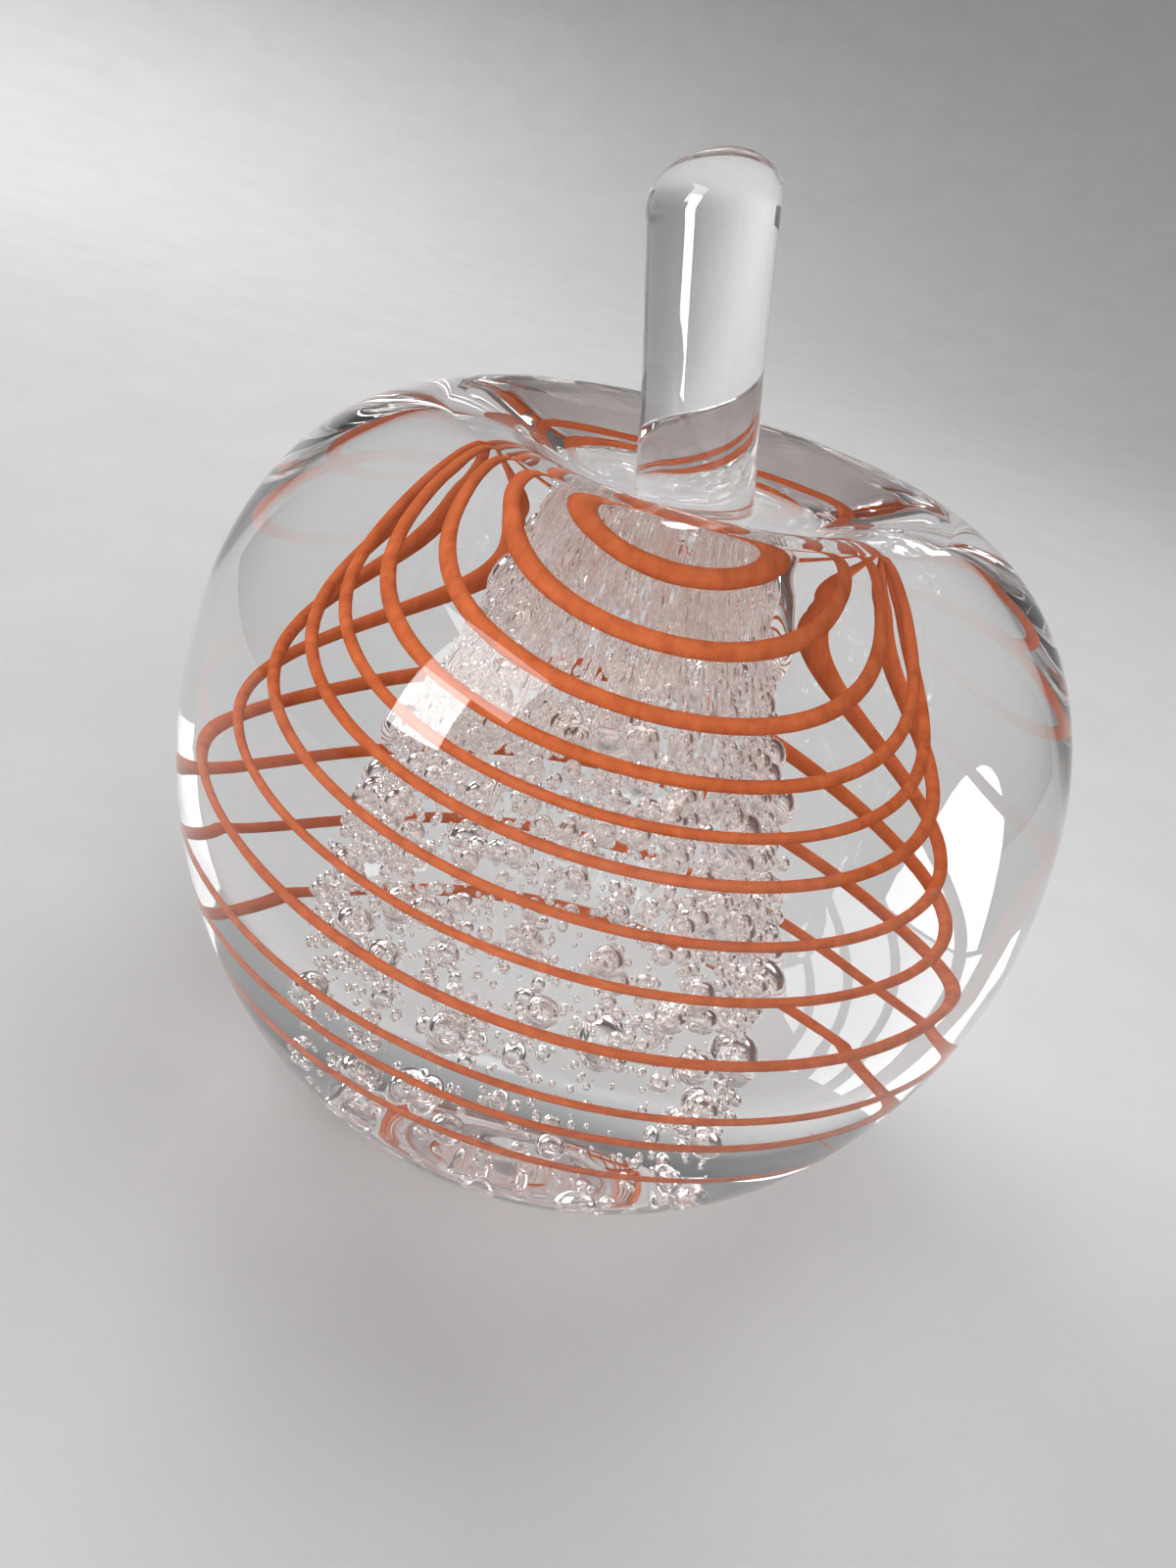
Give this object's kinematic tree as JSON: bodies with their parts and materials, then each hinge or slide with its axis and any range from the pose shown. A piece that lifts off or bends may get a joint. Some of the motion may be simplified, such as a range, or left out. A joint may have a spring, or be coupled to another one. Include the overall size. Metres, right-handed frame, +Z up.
{
  "type": "glass apple paperweight",
  "caption": "Solid clear glass apple with a leaning stem, a veil of tiny bubbles at its heart and an orange thread in a spiral round it. It rests on its flat ground base.",
  "frame": {"origin": "centre of the flat ground base", "axes": "+Z up the apple's axis, from the base towards the stem. The stem leans towards -X."},
  "size_m": [0.09, 0.09, 0.0992],
  "materials": {
    "clear_glass": "polished",
    "orange_glass": "polished"
  },
  "bodies": {
    "root": {"core_gather": "clear_glass", "thread_gather": "clear_glass", "spiral_thread": "orange_glass", "outer_casing": "clear_glass", "stem": "clear_glass"}
  },
  "joints": []
}
